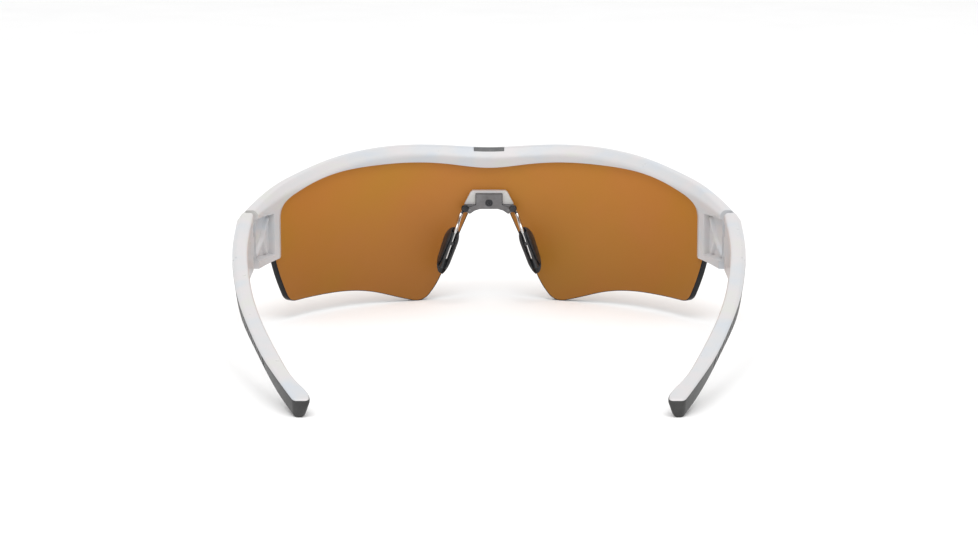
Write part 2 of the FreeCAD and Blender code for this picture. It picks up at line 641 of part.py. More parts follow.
def main():
    os.makedirs("parts", exist_ok=True)
    save("front_frame", front_frame())
    save("shield_lens", shield_lens())
    save("brow_inlay", brow_inlay())
    save("bridge_base", bridge_base())
    save("bridge_plate", bridge_plate())
    save("bridge_screw", bridge_screw())
    save("bridge_insert", bridge_insert())
    core, grip = temple_parts()
    one_sided = {"temple_core": core, "temple_grip": grip, "hinge_bush": hinge_bush(),
                 "pad_arm": pad_arm(), "nose_pad": nose_pad(), "pad_sleeve": pad_sleeve()}
    for name, shape in one_sided.items():
        save("left_" + name, shape)
        save("right_" + name, mirrored(shape))
    in_pairs = {"hinge_screws": hinge_screw(), "hinge_nuts": hinge_nut(), "arm_rivets": arm_rivet()}
    for name, shape in in_pairs.items():
        save(name, shape, mirrored(shape))


main()
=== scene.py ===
"""Looks for the wraparound sport sunglasses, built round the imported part.

Everything is drawn in millimetres in the part's own frame and scaled to metres when its mesh is
made: z = 0 is the table, +Z is up, the lens faces -Y, the temples run back to +Y, and +X is the
wearer's left. Each left-hand piece is drawn once and mirrored.
"""
import math

import bmesh
import bpy
import numpy as np
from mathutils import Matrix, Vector


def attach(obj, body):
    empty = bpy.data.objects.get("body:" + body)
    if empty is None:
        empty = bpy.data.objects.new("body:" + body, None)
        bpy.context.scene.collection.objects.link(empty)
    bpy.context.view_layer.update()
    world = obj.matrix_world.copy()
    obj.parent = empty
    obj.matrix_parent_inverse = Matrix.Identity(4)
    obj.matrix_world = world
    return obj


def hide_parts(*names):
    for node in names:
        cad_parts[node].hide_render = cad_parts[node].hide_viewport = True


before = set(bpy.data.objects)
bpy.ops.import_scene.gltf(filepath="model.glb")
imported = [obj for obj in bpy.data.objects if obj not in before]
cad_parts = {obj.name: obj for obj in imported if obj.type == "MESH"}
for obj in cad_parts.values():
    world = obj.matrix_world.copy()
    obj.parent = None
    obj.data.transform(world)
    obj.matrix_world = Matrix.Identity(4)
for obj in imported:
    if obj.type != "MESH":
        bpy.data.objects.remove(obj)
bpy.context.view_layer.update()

MM = 0.001
SHARP_ANGLE = math.radians(38)

# The front: it wraps round a vertical axis at x = 0 and this y
WRAP_AXIS_Y = -4.35
LENS_RADIUS = 69.15
LENS_BULGE_RADIUS = 140.0
LENS_WIDEST_Z = 27.0
LENS_THICKNESS = 2.0
LENS_SIDE_ANGLE = 58.0
FRAME_OUTER_RADIUS = 72.0
RIM_X = 59.2

# Hinges
PIVOT_X = 67.4
PIVOT_Y = -21.3
BARREL_RADIUS = 1.8
POCKET_RADIUS = 2.0
SCREW_RADIUS = 0.7
BUSH_RADIUS = 1.15
HEAD_RADIUS = 1.3
LUG_END_Y = -21.4
LUG_STEP_X = 67.7
LUG_STEP_Y = -23.7
LOWER_EAR_Z = (18.6, 21.6)
KNUCKLE_Z = (21.8, 27.2)
UPPER_EAR_Z = (27.4, 30.4)
LOWER_HEAD_DEPTH = 0.7
UPPER_HEAD_DEPTH = 0.8
HINGE_BORE_Z = (10, 40)
LUG_CUT_Z = (5, 50)
TEMPLE_CUT_FOOT_Z = 5

# Nose bridge, wires and pads
SOCKET_X = 7.1
SOCKET_Z = 27.3
EYE_FRONT_Y = -68.95
EYE_THICKNESS = 0.7
EYE_RADIUS = 1.1
EYE_ROUNDING = 0.12
SOCKET_SHADE_BEYOND_EYE = 0.2
RIVET_BORE = 0.55
WIRE_RADIUS = 0.5
WIRE_START = (0.62, 0.05, -0.5)
WIRE_ELBOW = Vector((8.7, -67.0, 25.0))
WIRE_BEND = 1.6
WIRE_ABOVE_PAD = 1.6
WIRE_SHORT_OF_FOOT = 3.4
PAD_TOP = Vector((9.9, -62.5, 21.3))
PAD_FOOT = Vector((13.8, -61.0, 10.3))
PAD_LENGTH = 14.4
PAD_DEPTH = 6.4
PAD_WIDTH = 3.9
WIRE_BEHIND_MIDDLE = 1.5
PAD_BORE_RADIUS = 1.15
PAD_SLOT_FOOT = ((-0.8, -2.2), (1.5, -2.2), (1.8, 6), (-1.0, 6))
PAD_SLOT_TOP = ((-0.35, -0.4), (1.05, -0.4), (1.2, 6), (-0.4, 6))
PAD_SLOT_Z = (-8, 9)
PAD_SOFT_VOXEL = 0.15
PAD_RINGS = 24
PAD_RING_POINTS = 72
PAD_CROWN_POWER = 0.62
PAD_FLANK_POWER = 0.9
PAD_SHORTEST_SHARE = 0.35
PAD_TAPER_START = 1.0
PAD_FOOT_DEPTH_LOSS = 0.40
PAD_FOOT_WIDTH_LOSS = 0.16
PAD_FOOT_SAG = 0.45
BASE_ROUNDING = 0.3
PLATE_ROUNDING = 0.16

# Lens outline from the front, right of the middle
LENS_TOP = [(0, 41.3), (12, 42.5), (24, 43.4), (36, 43.1), (47, 41.7), (55, 38.9), (62, 34.6), (70, 28.4)]
LENS_BOTTOM = [(49, 5.1), (42, 4.9), (34, 3.6), (27, 1.4), (22.4, 0.1)]
LENS_INNER_CORNER = [(22.4, 0.1), (20.9, 0.03), (19.3, 0.45), (17.9, 1.5)]
LENS_NOSE_EDGE = [(17.9, 1.5), (16.1, 3.9), (13.7, 8.4), (9.6, 17.5), (6.6, 24.3), (4.4, 29.2)]
NOTCH_TOP_Z = 30.8
# Its side edge, seen square on at LENS_SIDE_ANGLE: distance round, height
LENS_SIDE_EDGE = [(7.0, 24.0), (6.4, 19.5), (5.3, 15.4), (3.8, 11.4), (2.4, 8.2)]
LENS_SIDE_CORNER = [(2.4, 8.2), (1.4, 6.4), (-0.1, 5.4), (-2.0, 5.1)]

# Brow and side panels: angle round, top z, bottom z, inner face radius,
# outer chamfer's width and height, inner facet's width and height
FRONT_SECTIONS = [
    (0, 44.9, 19.0, 66.1, 1.7, 1.5, 2.3, 2.6),
    (11, 45.7, 19.0, 66.1, 1.7, 1.5, 2.3, 2.6),
    (21, 46.2, 19.0, 66.1, 1.7, 1.5, 2.3, 2.6),
    (31, 45.6, 19.0, 66.1, 1.7, 1.6, 2.3, 2.6),
    (41, 43.9, 19.0, 66.1, 1.7, 1.8, 2.3, 2.6),
    (51, 41.3, 19.0, 66.2, 1.7, 2.1, 2.1, 2.5),
    (60, 38.9, 18.9, 66.4, 1.7, 2.4, 1.7, 2.2),
    (68, 36.2, 18.2, 66.8, 1.7, 2.5, 1.3, 1.8),
    (79, 32.8, 17.2, 67.2, 1.7, 2.4, 0.9, 1.3),
]
BROW_UNDERSIDE = [(0, 39.2), (12, 40.5), (24, 41.4), (34, 41.2), (44, 40.2), (51, 38.1), (55.5, 36.0)]
PANEL_CORNER = [(55.5, 36.0), (57.6, 34.4), (58.7, 32.6), (RIM_X, 30.0)]
RECESS_ANGLES = (65.2, 73.4)
RECESS_Z = (20.2, 31.6)
RECESS_DEPTH = 1.9
RIB_DEPTH = 0.9
RIBS = [((66.4, 30.6), (68.8, 25.2)), ((68.8, 25.2), (67.2, 21.2)), ((68.8, 25.2), (72.2, 21.4))]
RIB_HALF_WIDTH = 0.5
RECESS_DRAFT = 0.6
RECESS_FACE_RADIUS = 67.0
RECESS_BACK_RADIUS = 71
PANEL_SPLIT_SHARE = 0.86
PANEL_SPLIT_CLIMB = 0.16
FRONT_EDGE_ROUNDING = 0.22

# Temples: y, outer face x, top z, bottom z, width, outer chamfer width and height,
# how far the outer face leans in towards its foot
TEMPLE_SECTIONS = [
    (-21.2, 70.0, 34.1, 17.2, 4.8, 1.7, 2.4, 0.2),
    (-8.0, 70.0, 29.3, 15.6, 4.5, 1.4, 2.1, 0.7),
    (8.0, 68.4, 24.3, 13.4, 4.3, 1.0, 1.5, 1.1),
    (24.0, 65.6, 19.3, 10.8, 4.3, 0.7, 1.0, 1.4),
    (40.0, 61.3, 14.5, 7.7, 4.4, 0.5, 0.7, 1.5),
    (56.0, 56.2, 10.2, 4.3, 4.6, 0.4, 0.6, 1.2),
    (68.0, 51.4, 7.1, 1.4, 4.8, 0.4, 0.5, 0.7),
    (74.4, 48.4, 5.05, -0.05, 4.9, 0.3, 0.4, 0.3),
    (76.35, 47.4, 4.4, -0.5, 3.9, 0.3, 0.4, 0.1),
]
TEMPLE_START_Y = -21.2
TEMPLE_END_Y = 76.35


# ---------------------------------------------------------------- curves and grids

def spline_through(points):
    """A natural cubic spline through rows of (t, value, ...); gives the values at t."""
    table = np.asarray(points, float)
    t, values = table[:, 0], table[:, 1:]
    step = np.diff(t)
    count = len(t)
    system = np.eye(count)
    right = np.zeros_like(values)
    for i in range(1, count - 1):
        system[i, i - 1:i + 2] = step[i - 1], 2 * (step[i - 1] + step[i]), step[i]
        slope_after = (values[i + 1] - values[i]) / step[i]
        slope_before = (values[i] - values[i - 1]) / step[i - 1]
        right[i] = 6 * (slope_after - slope_before)
    bend = np.linalg.solve(system, right)

    def at(x):
        i = int(np.clip(np.searchsorted(t, x) - 1, 0, count - 2))
        h = step[i]
        a, b = (t[i + 1] - x) / h, (x - t[i]) / h
        curved = (a ** 3 - a) * bend[i] + (b ** 3 - b) * bend[i + 1]
        return a * values[i] + b * values[i + 1] + curved * h * h / 6

    return at


def along(points, count):
    """count + 1 points evenly spaced on a smooth curve through the given ones."""
    table = np.asarray(points, float)
    run = np.concatenate([[0], np.cumsum(np.linalg.norm(np.diff(table, axis=0), axis=1))])
    curve = spline_through(np.column_stack([run, table]))
    return [curve(t) for t in np.linspace(0, run[-1], count + 1)]


def ring_through(corners, radii, arc_steps, edge_cuts):
    """A closed ring of points: the corners rounded, and each edge after a corner cut at the shares
    of its length in edge_cuts. Rings made with the same cuts have the same count, so they join."""
    corners = [np.asarray(c, float) for c in corners]
    count = len(corners)
    ring = []
    ends = []
    for i, corner in enumerate(corners):
        before, after = corners[i - 1], corners[(i + 1) % count]
        reach = [np.linalg.norm(before - corner), np.linalg.norm(after - corner)]
        start = corner + (before - corner) / reach[0] * min(radii[i], 0.45 * reach[0])
        end = corner + (after - corner) / reach[1] * min(radii[i], 0.45 * reach[1])
        ends.append((start, corner, end))
    for i, (start, corner, end) in enumerate(ends):
        if radii[i] > 0:
            for step in range(arc_steps):
                t = step / arc_steps
                ring.append((1 - t) ** 2 * start + 2 * t * (1 - t) * corner + t * t * end)
        following = ends[(i + 1) % count][0]
        for t in edge_cuts[i]:
            ring.append(end + (following - end) * t)
    return ring


def tube_faces(rows, columns, closed_ring=True):
    faces = []
    last = columns if closed_ring else columns - 1
    for r in range(rows - 1):
        for c in range(last):
            d = (c + 1) % columns
            faces.append((r * columns + c, r * columns + d, (r + 1) * columns + d, (r + 1) * columns + c))
    return faces


def mesh_of(parts, weld=0.002):
    """A bmesh in millimetres from (points, faces) parts, joined where they meet, facing outwards."""
    bm = bmesh.new()
    for points, faces in parts:
        verts = [bm.verts.new(p) for p in points]
        for face in faces:
            if len(set(face)) > 2:
                bm.faces.new([verts[i] for i in face])
    bmesh.ops.remove_doubles(bm, verts=bm.verts, dist=weld)
    bmesh.ops.dissolve_degenerate(bm, edges=bm.edges, dist=weld / 4)
    bmesh.ops.recalc_face_normals(bm, faces=bm.faces)
    return bm


def tube_part(rings, caps=True):
    """Rings of points joined into a tube, with flat ends."""
    columns = len(rings[0])
    faces = tube_faces(len(rings), columns)
    if caps:
        faces.append(tuple(reversed(range(columns))))
        first = (len(rings) - 1) * columns
        faces.append(tuple(range(first, first + columns)))
    return [p for ring in rings for p in ring], faces


def mirrored_part(part):
    points, faces = part
    return [(-p[0], p[1], p[2]) for p in points], [tuple(reversed(f)) for f in faces]


def round_edges(bm, width, segments, angle=math.radians(50), keep=lambda edge: True):
    """Real rounding on the edges that turn by more than the angle."""
    edges = [e for e in bm.edges if e.is_manifold and e.calc_face_angle(0) > angle and keep(e)]
    bmesh.ops.bevel(bm, geom=edges, offset=width, offset_type="OFFSET", segments=segments,
                    profile=0.5, affect="EDGES", clamp_overlap=True)


def linked(name, data):
    obj = bpy.data.objects.new(name, data)
    bpy.context.scene.collection.objects.link(obj)
    return obj


def smooth_but_for_edges(mesh):
    mesh.shade_smooth()
    mesh.set_sharp_from_angle(angle=SHARP_ANGLE)


def baked(obj):
    """A new mesh with the object's modifiers worked in."""
    bpy.context.view_layer.update()
    depsgraph = bpy.context.evaluated_depsgraph_get()
    return bpy.data.meshes.new_from_object(obj.evaluated_get(depsgraph))


def object_of(bm, name):
    """An object in metres from a bmesh in millimetres, which is used up."""
    mesh = bpy.data.meshes.new(name)
    bm.to_mesh(mesh)
    bm.free()
    mesh.transform(((MM, 0, 0, 0), (0, MM, 0, 0), (0, 0, MM, 0), (0, 0, 0, 1)))
    obj = linked(name, mesh)
    smooth_but_for_edges(mesh)
    return obj


def carve(obj, cutter, operation="DIFFERENCE"):
    """Boolean with a cutter object, which is used up."""
    modifier = obj.modifiers.new("carve", "BOOLEAN")
    modifier.operation = operation
    modifier.solver = "MANIFOLD"
    modifier.object = cutter
    made = baked(obj)
    obj.modifiers.remove(modifier)
    made.materials.clear()
    old = obj.data
    obj.data = made
    bpy.data.meshes.remove(old)
    bpy.data.objects.remove(cutter)
    bm = bmesh.new()
    bm.from_mesh(obj.data)
    bmesh.ops.remove_doubles(bm, verts=bm.verts, dist=2e-6)
    bmesh.ops.dissolve_degenerate(bm, edges=bm.edges, dist=1e-6)
    bm.to_mesh(obj.data)
    bm.free()
    smooth_but_for_edges(obj.data)
    return obj


def even_shading(obj):
    """Shades carved pieces by their large faces, so that slivers beside a cut don't show."""
    normals = obj.modifiers.new("normals", "WEIGHTED_NORMAL")
    normals.keep_sharp = True


def rod(radius, start, end, steps=40):
    """A cutter or boss: a straight round rod between two points."""
    start, end = Vector(start), Vector(end)
    axis = (end - start).normalized()
    across = axis.orthogonal().normalized()
    beside = axis.cross(across)
    rings = []
    for centre in (start, end):
        turns = [2 * math.pi * i / steps for i in range(steps)]
        rings.append([centre + (across * math.cos(a) + beside * math.sin(a)) * radius for a in turns])
    return object_of(mesh_of([tube_part(rings)]), "rod")


def upright(radius, x, low, high):
    """A rod on a hinge's axis."""
    return rod(radius, (x, PIVOT_Y, low), (x, PIVOT_Y, high))


def block(low, high):
    corners = [(low[0], low[1]), (high[0], low[1]), (high[0], high[1]), (low[0], high[1])]
    rings = [[(x, y, z) for x, y in corners] for z in (low[2], high[2])]
    return object_of(mesh_of([tube_part(rings)]), "block")


def placed(obj, body, slot, material, *nodes):
    """Gives a finished piece its body, its finish and the nodes it stands for; the slot is not used."""
    for finish in material if isinstance(material, list) else [material]:
        obj.data.materials.append(finish)
    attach(obj, body)
    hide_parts(*nodes)
    return obj


# ---------------------------------------------------------------- the front's shape

def lens_radius(offset, z):
    """Distance from the wrap axis to the lens's surface, offset mm out from its middle."""
    reach = LENS_BULGE_RADIUS + offset
    return LENS_RADIUS - LENS_BULGE_RADIUS + math.sqrt(reach * reach - (z - LENS_WIDEST_Z) ** 2)


def at_angle(radius, angle, z):
    return np.array((radius * math.sin(angle), WRAP_AXIS_Y - radius * math.cos(angle), z))


FRONT_SIZES = spline_through([(-s[0],) + s[1:] for s in reversed(FRONT_SECTIONS[1:])] + FRONT_SECTIONS)
LENS_TOP_AT = spline_through([(-x, z) for x, z in reversed(LENS_TOP[1:])] + LENS_TOP)
# Where each corner of the front's section lies, about, out from the wrap axis: up the outer face,
# over the top and down the inner face
CORNER_PLACES = [72.0, 72.0, 71.4, 70.3, 68.3, 66.6, 66.2, 66.2]
CORNER_ROUNDING = [0, 0.5, 0.9, 0.55, 0.7, 0.55, 0.9, 0]
ARC_STEPS = 5


def even(count):
    return [i / count for i in range(count)]


def fine_inside(first, count):
    """Cuts that leave a first stretch whole, so that its edge has room to be rounded."""
    return [0.0] + [first + (1 - first) * i / count for i in range(count)]


def front_corners(angle_at, foot_z=None):
    """The section's corners where angle_at(radius) is how far round it lies at that radius."""
    corners = []
    for index, place in enumerate(CORNER_PLACES):
        sizes = FRONT_SIZES(math.degrees(angle_at(place)))
        top, bottom, inner, outer_w, outer_h, inner_w, inner_h = sizes
        outer = FRAME_OUTER_RADIUS
        radius, z = [(outer, bottom), (outer, top - outer_h), (outer - outer_w * 0.35, top - outer_h * 0.4),
                     (outer - outer_w, top), (inner + inner_w, top - 0.1),
                     (inner + inner_w * 0.15, top - inner_h * 0.9), (inner, top - inner_h - 0.5),
                     (inner, bottom)][index]
        if foot_z is not None and index in (0, 7):
            z = foot_z
        corners.append(at_angle(radius, angle_at(radius), z))
    return corners


OUTER_CUTS = even(4)
TOP_CUTS = [even(1), even(2), even(3), even(2), even(1)]
INNER_CUTS = even(2)
UNDER_CUTS = even(4)
LOW_COUNT = 62
LOW_CUTS = fine_inside(0.035, LOW_COUNT - 1)
BROW_STATION_COUNT = 69
PANEL_CORNER_STEPS = 13
PANEL_STATIONS = [0.0] + [0.03 + 0.94 * i / 68 for i in range(69)] + [1.0]


def hollow_depth(angle, z):
    """How deep the side panel's inner face is let in, with its moulded ribs left standing."""
    around = math.radians(1) * RECESS_FACE_RADIUS

    def ramp(distance):
        t = min(max(distance / RECESS_DRAFT + 0.5, 0.0), 1.0)
        return t * t * (3 - 2 * t)

    inside = min((angle - RECESS_ANGLES[0]) * around, (RECESS_ANGLES[1] - angle) * around,
                 z - RECESS_Z[0], RECESS_Z[1] - z)
    depth = RECESS_DEPTH
    here = np.array((angle * around, z))
    for (a, za), (b, zb) in RIBS:
        start, run = np.array((a * around, za)), np.array(((b - a) * around, zb - za))
        t = np.clip(np.dot(here - start, run) / np.dot(run, run), 0, 1)
        gap = np.linalg.norm(here - start - run * t)
        depth = min(depth, RECESS_DEPTH - (RECESS_DEPTH - RIB_DEPTH) * ramp(RIB_HALF_WIDTH - gap))
    return depth * ramp(inside)


def front_half():
    """The left half of the brow and its side panel, as three grids that meet: the brow, the panel,
    and the wall between them that faces the side of the lens."""
    underside = spline_through([(-x, z) for x, z in reversed(BROW_UNDERSIDE[1:])] + BROW_UNDERSIDE)
    brow_end = BROW_UNDERSIDE[-1][0]
    stations = [(x, float(underside(x)[0])) for x in np.linspace(0, brow_end, BROW_STATION_COUNT)]
    stations += [(p[0], p[1]) for p in along(PANEL_CORNER, PANEL_CORNER_STEPS)[1:]]
    cuts = [OUTER_CUTS] + TOP_CUTS + [INNER_CUTS, UNDER_CUTS]
    brow = []
    for x, foot in stations:
        corners = front_corners(lambda r, x=x: math.asin(x / r), foot)
        brow.append(ring_through(corners, CORNER_ROUNDING, ARC_STEPS, cuts))

    def panel_angle(r, t):
        rim = math.asin(RIM_X / r)
        return rim + (math.acos((WRAP_AXIS_Y - LUG_END_Y) / r) - rim) * t

    rim_foot = stations[-1][1]
    low_cuts = [1 - t for t in reversed(LOW_CUTS[1:])]
    cuts = [LOW_CUTS, OUTER_CUTS] + TOP_CUTS + [INNER_CUTS, [0.0] + low_cuts, UNDER_CUTS]
    panel = []
    for t in PANEL_STATIONS:
        corners = front_corners(lambda r, t=t: panel_angle(r, t))
        if t == 0:
            rim_shares = [(rim_foot - corners[a][2]) / (corners[b][2] - corners[a][2])
                          for a, b in ((0, 1), (7, 6))]
        climb = min(t / PANEL_SPLIT_CLIMB, 1.0)
        outer_share, inner_share = [s + (PANEL_SPLIT_SHARE - s) * climb for s in rim_shares]
        outer_split = corners[0] + (corners[1] - corners[0]) * outer_share
        inner_split = corners[7] + (corners[6] - corners[7]) * inner_share
        corners = [corners[0], outer_split] + corners[1:7] + [inner_split, corners[7]]
        rounding = [0, 0] + CORNER_ROUNDING[1:7] + [0, 0]
        panel.append(ring_through(corners, rounding, ARC_STEPS, cuts))

    foot_index = len(panel[0]) - len(UNDER_CUTS)
    inner_side = panel[0][foot_index - LOW_COUNT:foot_index + 1]
    outer_side = list(reversed(panel[0][:LOW_COUNT + 1]))
    shares = UNDER_CUTS + [1.0]
    wall = [a + (b - a) * t for a, b in zip(inner_side, outer_side) for t in shares]
    wall_part = (wall, tube_faces(LOW_COUNT + 1, len(shares), closed_ring=False))

    first_inner = foot_index - LOW_COUNT - len(INNER_CUTS)
    for ring in panel:
        for index in range(first_inner, foot_index):
            x, y, z = ring[index]
            radius, angle = math.hypot(x, WRAP_AXIS_Y - y), math.atan2(x, WRAP_AXIS_Y - y)
            ring[index] = at_angle(radius + hollow_depth(math.degrees(angle), z), angle, z)
    panel_points, panel_faces = tube_part(panel, caps=False)
    last = (len(panel) - 1) * len(panel[0])
    panel_faces.append(tuple(range(last, last + len(panel[0]))))
    return [tube_part(brow, caps=False), (panel_points, panel_faces), wall_part]


def wrapped_bar(outline, half_angle, steps=24):
    """A bar round the wrap axis with the given (radius, z) outline."""
    turns = np.linspace(-math.radians(half_angle), math.radians(half_angle), steps)
    return mesh_of([tube_part([[at_angle(r, turn, z) for r, z in outline] for turn in turns])])


INLAY_SLOT = [(67.55, 43.1), (69.55, 43.1), (69.55, 48.0), (67.55, 48.0)]
INLAY_SECTION = [(67.61, 43.2), (69.49, 43.2), (69.49, 44.86), (68.5, 44.86), (67.61, 43.86)]
INLAY_SLOT_ANGLE = 3.8
INLAY_ANGLE = 3.74
INLAY_ROUNDING = 0.08


def inlay_piece():
    """The dark strip let into the top of the brow."""
    bm = wrapped_bar(INLAY_SECTION, INLAY_ANGLE)
    round_edges(bm, INLAY_ROUNDING, 2, math.radians(30))
    return object_of(bm, "brow_strip")


def front_piece():
    halves = front_half()
    bm = mesh_of(halves + [mirrored_part(part) for part in halves])

    def outside_hollow(edge):
        middle = (edge.verts[0].co + edge.verts[1].co) / 2
        angle = math.degrees(math.atan2(abs(middle.x), WRAP_AXIS_Y - middle.y))
        radius = math.hypot(middle.x, WRAP_AXIS_Y - middle.y)
        in_hollow = RECESS_ANGLES[0] - 1 < angle < RECESS_ANGLES[1] + 1 and middle.z > RECESS_Z[0] - 1
        return not in_hollow or radius > RECESS_BACK_RADIUS

    round_edges(bm, FRONT_EDGE_ROUNDING, 3, keep=outside_hollow)
    front = object_of(bm, "front_shell")
    carve(front, object_of(wrapped_bar(INLAY_SLOT, INLAY_SLOT_ANGLE), "slot"))
    for side in (1, -1):
        x = side * PIVOT_X
        low, high = sorted((0, side * LUG_STEP_X))
        carve(front, block((low, LUG_STEP_Y, LUG_CUT_Z[0]), (high, 0, LUG_CUT_Z[1])))
        carve(front, upright(POCKET_RADIUS, x, LOWER_EAR_Z[1], UPPER_EAR_Z[0]))
        for ear in (LOWER_EAR_Z, UPPER_EAR_Z):
            carve(front, upright(BARREL_RADIUS, x, ear[0], ear[1]), "UNION")
        carve(front, upright(SCREW_RADIUS, x, HINGE_BORE_Z[0], HINGE_BORE_Z[1]))
        carve(front, upright(HEAD_RADIUS, x, HINGE_BORE_Z[0], LOWER_EAR_Z[0] + LOWER_HEAD_DEPTH))
        carve(front, upright(HEAD_RADIUS, x, UPPER_EAR_Z[1] - UPPER_HEAD_DEPTH, HINGE_BORE_Z[1]))
    return front


# ---------------------------------------------------------------- the lens

LENS_EDGE_ROUNDING = 0.22
LENS_ROWS = 26
LENS_RIM_SHARE = 0.03


def lens_columns():
    """How far round each column of the lens lies, as a function of radius, and the height of its
    foot: down the notch and the nose edge, along the bottom and up the side."""
    notch_x, notch_z = LENS_NOSE_EDGE[-1]
    rise = NOTCH_TOP_Z - notch_z
    arch_radius = (notch_x ** 2 + rise ** 2) / (2 * rise)
    columns = []
    for x in np.linspace(0, notch_x, 8)[:-1]:
        z = NOTCH_TOP_Z - arch_radius + math.sqrt(arch_radius ** 2 - x ** 2)
        columns.append(("front", x, z))
    for points, count in ((LENS_NOSE_EDGE, 40), (LENS_INNER_CORNER, 8), (LENS_BOTTOM, 30)):
        columns += [("front", p[0], p[1]) for p in reversed(along(points, count)[1:])]
    columns.append(("front", *LENS_BOTTOM[0]))
    side_start = LENS_SIDE_CORNER[-1]
    for share in np.linspace(0, 1, 9)[1:-1]:
        columns.append((share, LENS_BOTTOM[0][0], side_start))
    for points, count in ((LENS_SIDE_CORNER, 8), (LENS_SIDE_EDGE, 24)):
        columns += [("side", p[0], p[1]) for p in reversed(along(points, count)[1:])]
    columns.append(("side", *LENS_SIDE_EDGE[0]))
    return columns


def column_angle(column, radius):
    kind, place, foot = column
    if kind == "front":
        return math.asin(place / radius)
    if kind == "side":
        return math.radians(LENS_SIDE_ANGLE) + math.asin(place / radius)
    front = math.asin(place / radius)
    side = math.radians(LENS_SIDE_ANGLE) + math.asin(foot[0] / radius)
    return front + (side - front) * kind


def lens_half():
    """The left half of the lens as two faces and their rim."""
    half = LENS_THICKNESS / 2
    shares = [0.0] + list(np.linspace(LENS_RIM_SHARE, 1 - LENS_RIM_SHARE, LENS_ROWS)) + [1.0]
    grids = []
    for offset in (half, -half):
        grid = []
        for column in lens_columns():
            kind, _, foot = column
            foot = foot if isinstance(kind, str) else foot[1]
            angle = column_angle(column, LENS_RADIUS)
            top = float(LENS_TOP_AT(LENS_RADIUS * math.sin(angle))[0])
            heights = [foot + (top - foot) * share for share in shares]
            grid.append([at_angle(lens_radius(offset, z), column_angle(column, lens_radius(offset, z)), z)
                         for z in heights])
        grids.append(grid)
    outer, inner = grids
    rows = len(shares)
    faces = tube_faces(len(outer), rows, closed_ring=False)
    parts = [([p for column in grid for p in column], faces) for grid in grids]
    for index in (0, rows - 1):
        rim = [[a[index], b[index]] for a, b in zip(outer, inner)]
        parts.append(([p for pair in rim for p in pair], tube_faces(len(rim), 2, closed_ring=False)))
    end = [[a, b] for a, b in zip(outer[-1], inner[-1])]
    parts.append(([p for pair in end for p in pair], tube_faces(rows, 2, closed_ring=False)))
    return parts


def lens_piece():
    halves = lens_half()
    bm = mesh_of(halves + [mirrored_part(part) for part in halves])
    bm.normal_update()
    # The cut edge and its rounding take the second finish, which paints them near-black as shade.
    flanks = [f for f in bm.faces if is_cut_edge(f)]
    for face in flanks:
        face.material_index = 1
    edges = [e for e in bm.edges if len({f.material_index for f in e.link_faces}) == 2]
    bmesh.ops.bevel(bm, geom=edges, offset=LENS_EDGE_ROUNDING, offset_type="OFFSET", segments=3,
                    profile=0.5, affect="EDGES", clamp_overlap=False, material=1)
    return object_of(bm, "lens_shell")


def is_cut_edge(face):
    """True for the faces across the lens's thickness: they don't look in or out from the wrap axis."""
    middle = face.calc_center_median()
    outward = Vector((middle.x, middle.y - WRAP_AXIS_Y, 0)).normalized()
    return abs(face.normal.dot(outward)) < 0.8


# ---------------------------------------------------------------- temples and grips

TEMPLE_SIZES = spline_through(TEMPLE_SECTIONS)
TEMPLE_ROUNDING = [0.55, 0.5, 0.6, 0.6, 0.5, 0.5, 0.6, 0.6]
TEMPLE_CUTS = [even(6), even(2), even(3), even(1), even(6), even(1), even(2), even(1)]
TEMPLE_FRONT_ROUNDING = 0.15
TIP_ROUNDING = 1.1
TIP_TAPER_Y = 60.0
TIP_TAPER = 1.3
GRIP_THICKNESS = 2.1
GRIP_INNER_OFFSET = 3.3
GRIP_FOOT = 1.6
GRIP_WRAP_Y = 46.0
GRIP_WRAP_RUN = 5.0
GRIP_FIRST_Y = -8.0
GRIP_STATIONS = 110
TEMPLE_STATIONS = 122
TIP_CAP_Y = 72.5
GRIP_SLANT = ((-7.0, 5.0), (18.0, 60.0))
GROOVE_COUNT = 9
GROOVE_START_Y = 16.0
GROOVE_PITCH = 4.6
GROOVE_SLANT = 32.0
GROOVE_REACH = 0.34
GROOVE_END_RADIUS = 0.62
# How far out from the rubber's face, and how wide there
GROOVE_PROFILE = ((-0.7, 0.72), (-0.6, 0.9), (-0.3, 1.0), (1.5, 1.12))
FOOT_CHAMFER = 0.9
OUTER_FOOT_WIDTH = 0.7
INNER_TOP_WIDTH = 0.6
INNER_TOP_HEIGHT = 0.8
TOP_FALL = 0.1
INNER_LEAN_SHARE = 0.25


def temple_corners(y, inset=0.0):
    x, top, bottom, width, outer_w, outer_h, lean = TEMPLE_SIZES(y)
    inner = x - width
    tip = min(max((y - TIP_TAPER_Y) / (TEMPLE_END_Y - TIP_TAPER_Y), 0.0), 1.0)
    foot = inner + lean * INNER_LEAN_SHARE + TIP_TAPER * tip * tip
    corners = [(x - lean, bottom + FOOT_CHAMFER), (x, top - outer_h), (x - outer_w, top),
               (inner + INNER_TOP_WIDTH, top - TOP_FALL), (inner, top - INNER_TOP_HEIGHT),
               (foot, bottom + FOOT_CHAMFER),
               (foot + FOOT_CHAMFER, bottom), (x - lean - OUTER_FOOT_WIDTH, bottom)]
    middle = ((x + inner) / 2, (top + bottom) / 2)
    shares = (1 - 2 * inset / width, 1 - 2 * inset / (top - bottom))
    return [tuple([middle[0] + (cx - middle[0]) * shares[0], y, middle[1] + (cz - middle[1]) * shares[1]])
            for cx, cz in corners]


def end_stations(end, inwards, radius, count):
    """(y, inset) pairs that round a temple's end off with a quarter circle."""
    pairs = []
    for step in range(count + 1):
        turn = math.radians(90) * step / count
        pairs.append((end + inwards * radius * (1 - math.sin(turn)), radius * (1 - math.cos(turn))))
    return pairs


